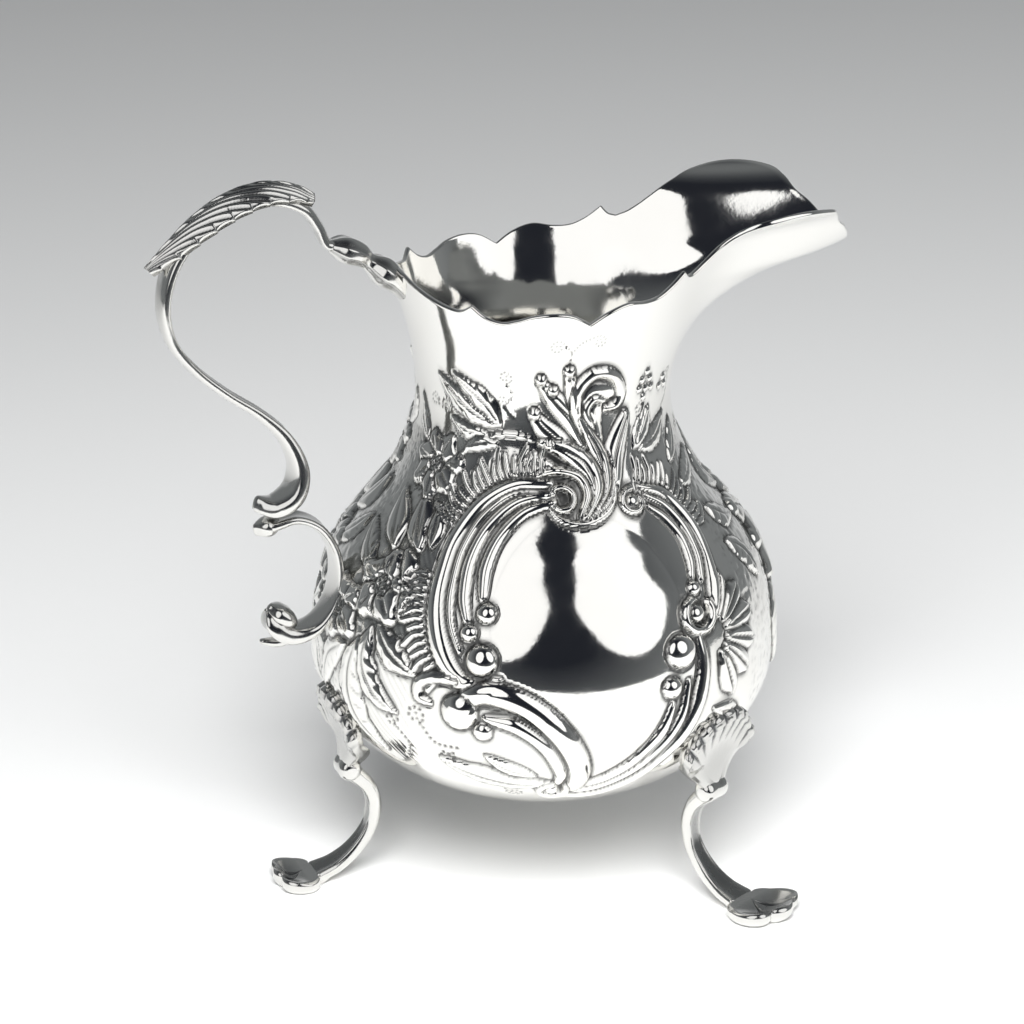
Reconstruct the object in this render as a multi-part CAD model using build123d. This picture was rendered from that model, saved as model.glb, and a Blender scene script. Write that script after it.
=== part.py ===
from build123d import *
import math
import os

# Silver cream jug, in millimetres. +X points to the spout, -X to the handle, +Z up.
# The origin is on the table, under the middle of the jug's overall box.

# Driving dimensions of the body, measured from the jug's own upright axis.
AXIS_X = 6.3             # the upright axis stands this far in front of the origin
WALL = 0.7               # thickness of the raised silver sheet
BELLY_RADIUS = 33.2
BELLY_Z = 33.5           # height of the widest point
BELLY_DROP = 22.2        # from the widest point down to the bottom of the bowl
SPLIT_Z = 60.0           # below this the body is turned, above it the spout grows out
TOP_Z = 99.5             # the raised sheet before its rim is trimmed

# Radius of the round profile against height, from the widest point to the rim.
PROFILE = (
    (33.5, 33.2), (39.0, 32.9), (44.3, 31.7), (49.0, 29.7), (54.2, 25.9), (60.0, 21.6),
    (67.5, 18.7), (74.0, 18.2), (80.0, 18.9), (86.0, 20.5), (92.0, 22.3), (100.0, 25.0),
)
# Reach of the spout's keel against height, and the spout's angular half width.
KEEL = (
    (54.2, 25.9), (60.0, 21.6), (67.5, 18.7), (74.0, 18.5), (79.0, 21.0), (83.0, 26.2),
    (86.5, 34.6), (89.0, 45.0), (93.5, 57.0), (97.2, 65.0), (100.0, 70.0),
)
SPREAD = (
    (60.0, 40.0), (76.0, 36.0), (83.0, 24.0), (88.0, 17.0), (93.5, 16.4), (95.7, 18.2), (97.2, 21.6), (100.0, 24.0),
)

# Height of the trimmed rim against the angle from the spout, one arc between two points or notches.
RIM_ARCS = (
    ((0, 89.0), (3, 89.4), (6, 90.6), (10.5, 93.4), (14.5, 95.7), (19, 96.9), (24, 97.4), (28, 96.6), (31, 94.9),
     (35, 92.9), (39, 91.5), (43, 90.7)),
    ((43, 90.7), (46, 90.9), (49, 91.8)),
    ((49, 91.8), (54, 90.2), (60, 89.1), (67, 88.9), (75, 89.2), (83, 88.3), (90, 86.8)),
    ((90, 86.8), (97, 88.3), (104, 88.7), (112, 88.4), (119, 87.6), (125, 87.2), (131, 87.9), (136, 89.4)),
    ((136, 89.4), (141, 88.4), (147, 88.5), (155, 89.2), (165, 90.4), (172, 91.5), (180, 92.2)),
)
TRIM_IN = 14.0           # how far the trimming tool reaches to each side of the sheet
TRIM_OUT = 12.0
TRIM_ALONG = 40.0
TRIM_STEP = 3.0          # degrees between the tool's straight edges

# Handle limbs: distance behind the axis, height, thickness and width of each cross-section.
UPPER_SCROLL = (
    (31.0, 95.8, 1.8, 3.0), (31.8, 96.2, 1.7, 3.0), (32.9, 98.7, 1.7, 3.2), (35.0, 101.6, 1.9, 3.8),
    (39.0, 103.3, 2.0, 4.2), (44.0, 103.2, 2.0, 4.6), (49.5, 100.4, 2.0, 4.8), (53.6, 95.6, 2.0, 5.0),
    (55.2, 89.8, 1.9, 4.8), (54.2, 84.4, 1.7, 3.8), (51.0, 80.0, 1.6, 3.4), (46.6, 76.0, 1.6, 3.4),
    (41.8, 72.4, 1.7, 3.6), (38.2, 68.6, 1.8, 4.6), (36.4, 64.0, 1.9, 6.0), (37.2, 60.2, 2.0, 6.6),
    (40.0, 58.3, 2.0, 6.0), (42.8, 58.9, 1.7, 4.4),
)
LOWER_SCROLL = (
    (42.2, 55.3, 2.2, 3.6), (40.0, 55.9, 1.8, 4.0), (37.0, 56.4, 1.6, 4.2), (33.8, 54.8, 1.6, 4.6),
    (31.7, 51.3, 1.6, 5.2), (31.2, 47.2, 1.7, 5.8), (32.3, 42.8, 1.8, 6.0), (35.0, 39.6, 2.0, 5.8),
    (38.4, 38.9, 2.2, 5.2), (40.8, 40.6, 2.4, 4.6), (40.9, 42.6, 2.0, 4.0),
)
LOWER_TAIL = ((38.0, 38.6, 1.6, 2.4), (40.2, 37.9, 1.5, 2.2), (42.4, 38.2, 0.8, 1.2))
RIM_PAD = (
    (31.0, 95.8, 1.8, 3.0), (29.2, 95.2, 3.4, 5.6), (27.2, 94.3, 3.2, 5.2), (25.6, 93.0, 2.4, 3.8),
    (23.8, 91.6, 3.8, 6.4), (22.0, 90.0, 3.2, 6.0), (20.4, 87.9, 2.2, 4.6),
)
# Leaf over the handle's crown: behind the axis, height, width, crown height over the sides.
LEAF_CAP = (
    (33.4, 103.0, 3.6, 0.9), (36.4, 104.7, 6.0, 1.7), (41.0, 105.4, 8.0, 2.2), (46.0, 104.2, 8.8, 2.5),
    (50.6, 101.4, 8.2, 2.3), (54.4, 97.9, 5.8, 1.7), (57.3, 94.9, 2.2, 0.8),
)
LEAF_THICKNESS = 0.7
LEAF_LIFT = 0.35         # the crown of the leaf over its listed height

# Legs: the rear one is under the handle, the others stand to each side of the spout.
FRONT_LEG_ANGLE = 57.0
KNUCKLE = (30.2, 17.2, 1.7, 5.2)      # distance, height, radius and length of the roll
SHANK = (
    (29.4, 16.2, 2.8, 3.2), (27.4, 13.9, 2.6, 2.9), (26.5, 11.0, 2.5, 2.7), (27.1, 7.7, 2.4, 2.7),
    (29.4, 4.5, 2.4, 3.2), (32.4, 2.3, 2.4, 4.2), (35.4, 1.3, 2.3, 5.2),
)
FOOT_LOBES = ((36.9, 0.0, 3.6, 3.1), (38.6, 2.9, 3.0, 2.3), (38.6, -2.9, 3.0, 2.3), (40.0, 0.0, 2.4, 2.0))
FOOT_THICKNESS = 2.0
FOOT_BEVEL = 0.5
NECK = ((31.0, 24.6, 1.9, 10.0), (31.0, 22.0, 2.0, 7.0), (30.8, 20.0, 2.4, 4.6), (30.4, 18.2, 2.8, 4.0))
SHELL_THICKNESS = 1.1
# Half of the fan's outline, sideways and up: waist, corner, then the scalloped top.
FAN_WAIST = (2.0, 19.6)
FAN_CORNER = (8.4, 21.2)
FAN_SCALLOPS = ((6.6, 25.6), (3.6, 28.6), (0.0, 30.0))
SCALLOP_RISE = 0.7


def smooth(knots, at):
    """Value of the smooth curve through the (place, value) knots."""
    last = len(knots) - 1
    index = 0
    while index < last - 1 and at > knots[index + 1][0]:
        index += 1

    def slope(k):
        low = max(k - 1, 0)
        high = min(k + 1, last)
        return (knots[high][1] - knots[low][1]) / (knots[high][0] - knots[low][0])

    (start, v0), (end, v1) = knots[index], knots[index + 1]
    span = end - start
    t = (at - start) / span
    m0, m1 = slope(index) * span, slope(index + 1) * span
    return ((2 * t**3 - 3 * t**2 + 1) * v0 + (t**3 - 2 * t**2 + t) * m0
            + (3 * t**2 - 2 * t**3) * v1 + (t**3 - t**2) * m1)


def sheet_radius(angle, z):
    """Outer radius of the raised sheet at an angle in degrees from the spout."""
    off = math.remainder(angle, 360.0)
    round_part = smooth(PROFILE, z)
    if z <= SPLIT_Z:
        return round_part
    bulge = (1.0 + (off / smooth(SPREAD, z)) ** 2) ** -1.5
    return round_part + (smooth(KEEL, z) - round_part) * bulge


def sheet_slope(angle, z):
    """How fast the outer radius grows with height."""
    step = 0.05
    high = z if z in (SPLIT_Z, TOP_Z) else z + step
    return (sheet_radius(angle, high) - sheet_radius(angle, z - step)) / (high - z + step)


def inner_radius(angle, z):
    """Radius inside the sheet, one wall square to the surface."""
    return sheet_radius(angle, z) - WALL * math.hypot(1.0, sheet_slope(angle, z))


def ring(radius_at, z):
    """Closed outline of the sheet at one height, in short curves that join smoothly."""
    stops = (0, 8, 16, 26, 38, 55, 80, 110, 145, 180)
    angles = [-a for a in reversed(stops[1:])] + list(stops)

    def point(angle):
        r = radius_at(angle, z)
        return Vector(r * math.cos(math.radians(angle)), r * math.sin(math.radians(angle)), z)

    edges = []
    for a, b in zip(angles, angles[1:]):
        if z <= SPLIT_Z:
            edges.append(Edge.make_three_point_arc(point(a), point((a + b) / 2), point(b)))
            continue
        step = 0.25
        lead = (point(a + step) - point(a - step)) * ((b - a) / (6 * step))
        tail = (point(b + step) - point(b - step)) * ((b - a) / (6 * step))
        edges.append(Edge.make_bezier(point(a), point(a) + lead, point(b) - tail, point(b)))
    return Wire(edges)


def turned_bowl(shrink, radius_at):
    """Solid of revolution below the split: half an ellipse, then the shoulder."""
    a, b = BELLY_RADIUS - shrink, BELLY_DROP - shrink
    shoulder = [(BELLY_Z, a)]
    shoulder += [(z, radius_at(180, z)) for z, _ in PROFILE if BELLY_Z < z < SPLIT_Z]
    shoulder.append((SPLIT_Z, radius_at(180, SPLIT_Z)))
    with BuildPart() as bowl:
        with BuildSketch(Plane.XZ):
            with BuildLine():
                EllipticalCenterArc((0, BELLY_Z), a, b, start_angle=270, arc_size=90)
                Spline(*[(r, z) for z, r in shoulder], tangents=((0, 1), (sheet_slope(180, SPLIT_Z), 1)))
                Line((shoulder[-1][1], SPLIT_Z), (0, SPLIT_Z))
                Line((0, SPLIT_Z), (0, BELLY_Z - b))
            make_face()
        revolve(axis=Axis.Z)
    return bowl.part.solid()


def raised_blank(shrink, radius_at):
    """The jug's form filled solid, before its rim is trimmed."""
    levels = [SPLIT_Z, 62.5, 65, 68, 71, 74, 76.5, 79, 81, 83, 85, 87, 89, 91, 93, 95, 97, TOP_Z]
    horn = Solid.make_loft([ring(radius_at, z) for z in levels])
    return turned_bowl(shrink, radius_at).fuse(horn)


def trimming_tools():
    """Solids that cut the raised sheet along its wavy rim, square to the sheet."""

    def blade(angle, z):
        tilt = math.atan2(1.0, sheet_slope(angle, z))
        along = Vector(math.cos(tilt), math.sin(tilt))
        inward = Vector(-math.sin(tilt), math.cos(tilt))
        rim = Vector(sheet_radius(angle, z), z)
        outline = [rim + inward * TRIM_IN, rim - inward * TRIM_OUT]
        outline += [outline[1] + along * TRIM_ALONG, outline[0] + along * TRIM_ALONG]
        turn = math.radians(angle)
        return Wire.make_polygon([(p.X * math.cos(turn), p.X * math.sin(turn), p.Y) for p in outline])

    tools = []
    for side in (1, -1):
        for arc in RIM_ARCS:
            start, end = arc[0][0], arc[-1][0]
            steps = math.ceil((end - start) / TRIM_STEP)
            angles = [start + (end - start) * i / steps for i in range(steps + 1)]
            blades = [blade(side * angle, smooth(arc, angle)) for angle in angles]
            tools.append(Solid.make_loft(blades, ruled=True))
    return tools


def section_planes(sections):
    """Planes square to the line through the sections, with their x along +Y."""
    centres = [Vector(x, 0, z) for x, z, _, _ in sections]
    last = len(centres) - 1
    planes = []
    for i, centre in enumerate(centres):
        along = centres[min(i + 1, last)] - centres[max(i - 1, 0)]
        planes.append(Plane(origin=centre, x_dir=(0, 1, 0), z_dir=along))
    return planes


def limb(sections):
    """Tapering limb towards +X, lofted through its oval cross-sections."""
    ovals = []
    for plane, (_, _, thickness, width) in zip(section_planes(sections), sections):
        ovals.append(Wire.make_ellipse(width / 2, thickness / 2, plane))
    return Solid.make_loft(ovals)


def leaf():
    """Saddle-shaped leaf towards +X that lies over the crown of the handle."""
    saddles = []
    for plane, (_, _, width, crown) in zip(section_planes(LEAF_CAP), LEAF_CAP):
        up = 1.0 if plane.y_dir.Z > 0 else -1.0
        left = plane.from_local_coords((-width / 2, up * (LEAF_LIFT - crown), 0))
        right = plane.from_local_coords((width / 2, up * (LEAF_LIFT - crown), 0))
        top = plane.from_local_coords((0, up * LEAF_LIFT, 0))
        under = plane.from_local_coords((0, up * (LEAF_LIFT - LEAF_THICKNESS), 0))
        over_edge = Edge.make_three_point_arc(left, top, right)
        under_edge = Edge.make_three_point_arc(right, under, left)
        saddles.append(Wire([over_edge, under_edge]))
    return Solid.make_loft(saddles)


def leg():
    """Cabriole leg towards +X: rolled knuckle, bowed shank and three-lobed foot."""
    x, z, radius, length = KNUCKLE
    knuckle = Pos(x, 0, z) * Rot(90, 0, 0) * Cylinder(radius, length)
    knuckle = fillet(knuckle.edges().filter_by(GeomType.CIRCLE), radius * 0.6)
    lobes = []
    for lobe_x, lobe_y, half_long, half_wide in FOOT_LOBES:
        sole = Wire.make_ellipse(half_long, half_wide, Plane((lobe_x, lobe_y, 0)))
        crown_plane = Plane((lobe_x, lobe_y, FOOT_THICKNESS))
        crown = Wire.make_ellipse(half_long - FOOT_BEVEL, half_wide - FOOT_BEVEL, crown_plane)
        lobes.append(Solid.make_loft([sole, crown]))
    above_table = Pos(30, 0, 20) * Box(60, 20, 40)
    return limb(SHANK).fuse(knuckle, *lobes) & above_table


def knee_shell(blank):
    """Scalloped fan towards +X that lies on the belly and ends in a neck over the knuckle."""
    scallops = [FAN_CORNER] + list(FAN_SCALLOPS)
    with BuildSketch(Plane.YZ) as fan:
        with BuildLine():
            for side in (1, -1):
                Line((side * FAN_WAIST[0], FAN_WAIST[1]), (side * FAN_CORNER[0], FAN_CORNER[1]))
                for (y0, z0), (y1, z1) in zip(scallops, scallops[1:]):
                    outward = Vector(y0 + y1, z0 + z1 - 2 * FAN_WAIST[1]).normalized() * SCALLOP_RISE
                    middle = (side * ((y0 + y1) / 2 + outward.X), (z0 + z1) / 2 + outward.Y)
                    ThreePointArc((side * y0, z0), middle, (side * y1, z1))
            Line((-FAN_WAIST[0], FAN_WAIST[1]), (FAN_WAIST[0], FAN_WAIST[1]))
        make_face()
    prism = extrude(fan.sketch, amount=BELLY_RADIUS + 2 * SHELL_THICKNESS)
    skin = turned_bowl(-SHELL_THICKNESS, lambda angle, z: sheet_radius(angle, z) + SHELL_THICKNESS)
    plate = (prism & skin) - blank
    return plate + (limb(NECK) - blank)


def main_piece(shape):
    """The largest solid of a shape that a cut has left in several pieces."""
    return max(shape.solids(), key=lambda solid: solid.volume)


outer = raised_blank(0.0, sheet_radius)
inner = raised_blank(WALL, inner_radius)
body = (outer - inner) - trimming_tools()

# The handle's pieces are drawn towards +X and turned to the back.
to_back = Rot(0, 0, 180)
rim_pad = main_piece(to_back * limb(RIM_PAD) - outer)
upper_scroll = to_back * limb(UPPER_SCROLL)
lower_scroll = to_back * (limb(LOWER_SCROLL) + limb(LOWER_TAIL))
lower_scroll = main_piece(lower_scroll - upper_scroll - outer)
leaf_cap = main_piece(to_back * leaf() - upper_scroll)

shell = knee_shell(outer)
cabriole = leg() - shell

parts = {
    "body": body,
    "handle_upper_scroll": upper_scroll,
    "handle_lower_scroll": lower_scroll,
    "handle_rim_pad": rim_pad,
    "handle_leaf_cap": leaf_cap,
}
for name, angle in (("rear", 180.0), ("left", FRONT_LEG_ANGLE), ("right", -FRONT_LEG_ANGLE)):
    parts["knee_shell_" + name] = Rot(0, 0, angle) * shell
    parts["leg_" + name] = Rot(0, 0, angle) * cabriole

os.makedirs("parts", exist_ok=True)
for name, shape in parts.items():
    placed = Pos(AXIS_X, 0, 0) * shape
    export_step(placed, os.path.join("parts", name + ".step"))
    box = placed.bounding_box()
    print(name, len(placed.solids()), "solids", round(placed.volume, 1), "mm3", round(box.size.Z, 1), "mm tall")
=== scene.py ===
import math

import bpy
import numpy as np
from mathutils import Matrix, Vector


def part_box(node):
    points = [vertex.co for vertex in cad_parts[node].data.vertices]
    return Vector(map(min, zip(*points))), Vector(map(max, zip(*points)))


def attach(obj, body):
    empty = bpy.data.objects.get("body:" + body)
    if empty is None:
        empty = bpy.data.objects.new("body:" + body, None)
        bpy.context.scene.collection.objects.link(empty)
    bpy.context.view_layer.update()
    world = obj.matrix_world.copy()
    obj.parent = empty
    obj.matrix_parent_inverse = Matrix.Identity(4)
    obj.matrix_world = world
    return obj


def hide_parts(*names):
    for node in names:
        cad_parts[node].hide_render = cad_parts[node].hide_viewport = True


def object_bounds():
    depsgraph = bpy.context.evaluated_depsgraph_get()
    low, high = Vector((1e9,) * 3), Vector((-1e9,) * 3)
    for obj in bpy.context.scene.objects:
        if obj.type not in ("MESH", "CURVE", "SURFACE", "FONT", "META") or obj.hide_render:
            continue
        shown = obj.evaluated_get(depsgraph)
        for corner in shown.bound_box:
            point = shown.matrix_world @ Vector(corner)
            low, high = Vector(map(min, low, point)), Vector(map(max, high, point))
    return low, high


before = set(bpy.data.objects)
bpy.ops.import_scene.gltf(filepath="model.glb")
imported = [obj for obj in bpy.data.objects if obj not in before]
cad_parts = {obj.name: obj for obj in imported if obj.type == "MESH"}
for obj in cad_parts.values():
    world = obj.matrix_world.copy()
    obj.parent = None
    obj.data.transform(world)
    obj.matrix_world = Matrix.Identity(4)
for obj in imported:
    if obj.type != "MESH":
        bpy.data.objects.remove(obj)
cad_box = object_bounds()

# Silver cream jug. Shapes are worked out in millimetres about the jug's own upright axis,
# +X towards the spout, and moved into the frame when a mesh is made.
MM = 0.001
WALL = 0.7
BELLY_RADIUS = 33.2
BELLY_Z = 33.5
BELLY_DROP = 22.2
SPLIT_Z = 60.0
AXIS_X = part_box("body")[0][0] / MM + BELLY_RADIUS
NEAR, FAR = -1, 1        # the side that faces the camera, and the other one

PROFILE = (
    (33.5, 33.2), (39.0, 32.9), (44.3, 31.7), (49.0, 29.7), (54.2, 25.9), (60.0, 21.6),
    (67.5, 18.7), (74.0, 18.2), (80.0, 18.9), (86.0, 20.5), (92.0, 22.3), (100.0, 25.0),
)
KEEL = (
    (54.2, 25.9), (60.0, 21.6), (67.5, 18.7), (74.0, 18.5), (79.0, 21.0), (83.0, 26.2),
    (86.5, 34.6), (89.0, 45.0), (93.5, 57.0), (97.2, 65.0), (100.0, 70.0),
)
SPREAD = (
    (60.0, 40.0), (76.0, 36.0), (83.0, 24.0), (88.0, 17.0), (93.5, 16.4), (95.7, 18.2),
    (97.2, 21.6), (100.0, 24.0),
)
RIM_ARCS = (
    ((0, 89.0), (3, 89.4), (6, 90.6), (10.5, 93.4), (14.5, 95.7), (19, 96.9), (24, 97.4), (28, 96.6),
     (31, 94.9), (35, 92.9), (39, 91.5), (43, 90.7)),
    ((43, 90.7), (46, 90.9), (49, 91.8)),
    ((49, 91.8), (54, 90.2), (60, 89.1), (67, 88.9), (75, 89.2), (83, 88.3), (90, 86.8)),
    ((90, 86.8), (97, 88.3), (104, 88.7), (112, 88.4), (119, 87.6), (125, 87.2), (131, 87.9), (136, 89.4)),
    ((136, 89.4), (141, 88.4), (147, 88.5), (155, 89.2), (165, 90.4), (172, 91.5), (180, 92.2)),
)
UPPER_SCROLL = (
    (31.0, 95.8, 1.8, 3.0), (31.8, 96.2, 1.7, 3.0), (32.9, 98.7, 1.7, 3.2), (35.0, 101.6, 1.9, 3.8),
    (39.0, 103.3, 2.0, 4.2), (44.0, 103.2, 2.0, 4.6), (49.5, 100.4, 2.0, 4.8), (53.6, 95.6, 2.0, 5.0),
    (55.2, 89.8, 1.9, 4.8), (54.2, 84.4, 1.7, 3.8), (51.0, 80.0, 1.6, 3.4), (46.6, 76.0, 1.6, 3.4),
    (41.8, 72.4, 1.7, 3.6), (38.2, 68.6, 1.8, 4.6), (36.4, 64.0, 1.9, 6.0), (37.2, 60.2, 2.0, 6.6),
    (40.0, 58.3, 2.0, 6.0), (42.8, 58.9, 1.7, 4.4),
)
LOWER_SCROLL = (
    (42.2, 55.3, 2.2, 3.6), (40.0, 55.9, 1.8, 4.0), (37.0, 56.4, 1.6, 4.2), (33.8, 54.8, 1.6, 4.6),
    (31.7, 51.3, 1.6, 5.2), (31.2, 47.2, 1.7, 5.8), (32.3, 42.8, 1.8, 6.0), (35.0, 39.6, 2.0, 5.8),
    (38.4, 38.9, 2.2, 5.2), (40.8, 40.6, 2.4, 4.6), (40.9, 42.6, 2.0, 4.0),
)
LOWER_TAIL = ((38.0, 38.6, 1.6, 2.4), (40.2, 37.9, 1.5, 2.2), (42.4, 38.2, 0.8, 1.2))
LOWER_KNOB = ((39.6, 55.9, 1.6, 3.2), (41.2, 55.5, 2.8, 3.8), (42.9, 55.2, 1.8, 3.0))
LOWER_ROLL = ((37.6, 40.4, 1.2, 4.0), (38.7, 41.4, 2.6, 5.0), (40.2, 42.4, 2.8, 4.6), (41.2, 43.2, 1.4, 3.4))
RIM_PAD = (
    (31.0, 95.8, 1.8, 3.0), (29.2, 95.2, 3.4, 5.6), (27.2, 94.3, 3.2, 5.2), (25.6, 93.0, 2.4, 3.8),
    (23.8, 91.6, 3.8, 6.4), (22.0, 90.0, 3.2, 6.0), (20.4, 87.9, 2.2, 4.6),
)
LEAF_CAP = (
    (33.4, 103.0, 3.6, 0.9), (36.4, 104.7, 6.0, 1.7), (41.0, 105.4, 8.0, 2.2), (46.0, 104.2, 8.8, 2.5),
    (50.6, 101.4, 8.2, 2.3), (54.4, 97.9, 5.8, 1.7), (57.3, 94.9, 2.2, 0.8),
)
LEAF_THICKNESS = 0.7
LEAF_WIDTH = 0.76        # share of the listed width that the leaf keeps between its teeth
FEATHER_STEP = 3.2       # along the leaf, from one feather to the next
FEATHER_RUN = 15.0       # along the leaf, from a feather's root at the midrib to its tip at the edge
LEGS = (                 # name, angle from the spout, extra reach of the toe
    ("rear", 180.0, -0.8), ("left", 57.0, 0.6), ("right", -57.0, 1.6),
)
KNUCKLE = (30.2, 17.2, 1.7, 5.2)
SHANK = (
    (29.4, 16.2, 2.8, 3.2), (27.4, 13.9, 2.6, 2.9), (26.5, 11.0, 2.5, 2.7), (27.1, 7.7, 2.4, 2.7),
    (29.4, 4.5, 2.4, 3.2), (32.4, 2.3, 2.4, 4.2), (35.4, 1.3, 2.3, 5.2),
)
FOOT_LOBES = ((36.6, 0.0, 3.6, 2.4), (38.6, 2.9, 3.0, 2.3), (38.6, -2.9, 3.0, 2.3), (40.0, 0.0, 2.4, 2.0))
SHELL_ROOT = 17.8        # height where a shell's web meets the knuckle
SHELL_OUTLINE = (        # reach of the shell and its web, by degrees from straight up
    (0, 12.0), (15, 11.8), (30, 11.0), (42, 10.4), (50, 10.0), (56, 9.0), (61, 6.0), (66, 4.3), (74, 3.1),
    (84, 2.3), (92, 2.0),
)
SHELL_FLUTES = 9
SHELL_FAN = 54           # degrees from straight up to the last flute
WEB_X = 30.9             # from the jug's axis to the web


# ---------------------------------------------------------------- curves and meshes

def smooth(knots, at):
    """Values of the smooth curve through the (place, value) knots."""
    places, values = np.array(knots, float).T
    at = np.asarray(at, float)
    last = len(places) - 1
    low = np.maximum(np.arange(last + 1) - 1, 0)
    high = np.minimum(np.arange(last + 1) + 1, last)
    slopes = (values[high] - values[low]) / (places[high] - places[low])
    index = np.searchsorted(places[1:-1], at)
    span = places[index + 1] - places[index]
    t = (at - places[index]) / span
    return ((2 * t**3 - 3 * t**2 + 1) * values[index] + (t**3 - 2 * t**2 + t) * slopes[index] * span
            + (3 * t**2 - 2 * t**3) * values[index + 1] + (t**3 - t**2) * slopes[index + 1] * span)


def path_through(points, step):
    """Evenly spaced points on the smooth path through the given ones; further columns follow along."""
    points = np.array(points, float)
    chord = np.r_[0, np.cumsum(np.hypot(*np.diff(points[:, :2], axis=0).T))]
    at = np.linspace(0, chord[-1], max(3, math.ceil(chord[-1] / step) + 1))
    return np.stack([smooth(np.c_[chord, column], at) for column in points.T], axis=1)


def grid_faces(rows, columns, wrap):
    """Quads over a grid of points, joined round if wrap is true."""
    row, column = np.meshgrid(np.arange(rows - 1), np.arange(columns if wrap else columns - 1), indexing="ij")
    row, column = row.ravel(), column.ravel()
    beside = (column + 1) % columns
    return np.stack([row * columns + column, row * columns + beside,
                     (row + 1) * columns + beside, (row + 1) * columns + column], axis=1)


def tube_faces(rows, around, flipped=False):
    """Faces over rings of points, with both ends closed; flipped where the rings run the other way."""
    base = (rows - 1) * around
    faces = [list(face) for face in grid_faces(rows, around, True)]
    faces += [list(range(around))[::-1], list(range(base, base + around))]
    return [face[::-1] for face in faces] if flipped else faces


def spiral(x, y, radius, start, turns, shrink, count):
    """Points on a spiral about a place. It starts at an angle in degrees and loses a share of its radius."""
    points = []
    for share in np.linspace(0, 1, count):
        angle = math.radians(start) + share * turns * 2 * math.pi
        reach = radius * (1 - shrink * share)
        points.append((x + reach * math.cos(angle), y + reach * math.sin(angle)))
    return points


def make_piece(name, points, faces, painted_shade, node, material):
    """Mesh piece, from points in millimetres about the jug's axis, that stands for a CAD node."""
    points = (np.asarray(points, float) + (AXIS_X, 0.0, 0.0)) * MM
    mesh = bpy.data.meshes.new(name)
    mesh.from_pydata(points.tolist(), [], [list(map(int, face)) for face in faces])
    mesh.validate()
    mesh.polygons.foreach_set("use_smooth", np.ones(len(mesh.polygons), bool))
    # per-point painted shade for hollows and creases, which darkens the silver's colour
    shade = mesh.attributes.new("painted_shade", "FLOAT", "POINT")
    shade.data.foreach_set("value", np.asarray(painted_shade, float).ravel())
    mesh.update()
    piece = bpy.data.objects.new(name, mesh)
    bpy.context.scene.collection.objects.link(piece)
    mesh.materials.append(material)
    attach(piece, "root")
    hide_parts(node)


def turned(points, angle):
    """Points turned about the jug's axis by an angle in degrees."""
    c, s = math.cos(math.radians(angle)), math.sin(math.radians(angle))
    return points @ np.array([[c, s, 0], [-s, c, 0], [0, 0, 1]])


def wobble(points, size, seed):
    """Slow seeded unevenness of hand work, about -1 to 1, over waves of the given length."""
    count = 14
    draw = np.random.default_rng(seed)
    total = np.zeros(len(points))
    for _ in range(count):
        direction = draw.normal(size=3)
        direction /= np.linalg.norm(direction)
        wave = 2 * math.pi / (size * draw.uniform(0.6, 1.7))
        total += np.sin(points @ direction * wave + draw.uniform(0, 2 * math.pi))
    return total / math.sqrt(count / 2) / 2


def dappled(x, y, cell, seed):
    """Random values 0 to 1 on a lattice of the given cell, blended between."""
    draw = np.random.default_rng(seed)
    table = draw.random((256, 256))
    u, v = x / cell, y / cell
    i, j = np.floor(u).astype(int), np.floor(v).astype(int)
    fu, fv = u - i, v - j
    fu, fv = fu * fu * (3 - 2 * fu), fv * fv * (3 - 2 * fv)
    a, b = table[i % 256, j % 256], table[(i + 1) % 256, j % 256]
    c, d = table[i % 256, (j + 1) % 256], table[(i + 1) % 256, (j + 1) % 256]
    return (a * (1 - fu) + b * fu) * (1 - fv) + (c * (1 - fu) + d * fu) * fv


# ---------------------------------------------------------------- materials

def add_node(tree, kind, inputs, **settings):
    """New node. Its sockets, by name or number, take values or other nodes' outputs; settings are its own."""
    node = tree.nodes.new("ShaderNode" + kind)
    for key, value in settings.items():
        setattr(node, key, value)
    for key, value in inputs.items():
        if isinstance(value, bpy.types.NodeSocket):
            tree.links.new(value, node.inputs[key])
        else:
            node.inputs[key].default_value = value
    return node


def ranged(tree, value, low, high, to_low, to_high):
    """Value moved from one range to another."""
    return add_node(tree, "MapRange", {"Value": value, "From Min": low, "From Max": high, "To Min": to_low,
                                       "To Max": to_high}).outputs["Result"]


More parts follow.
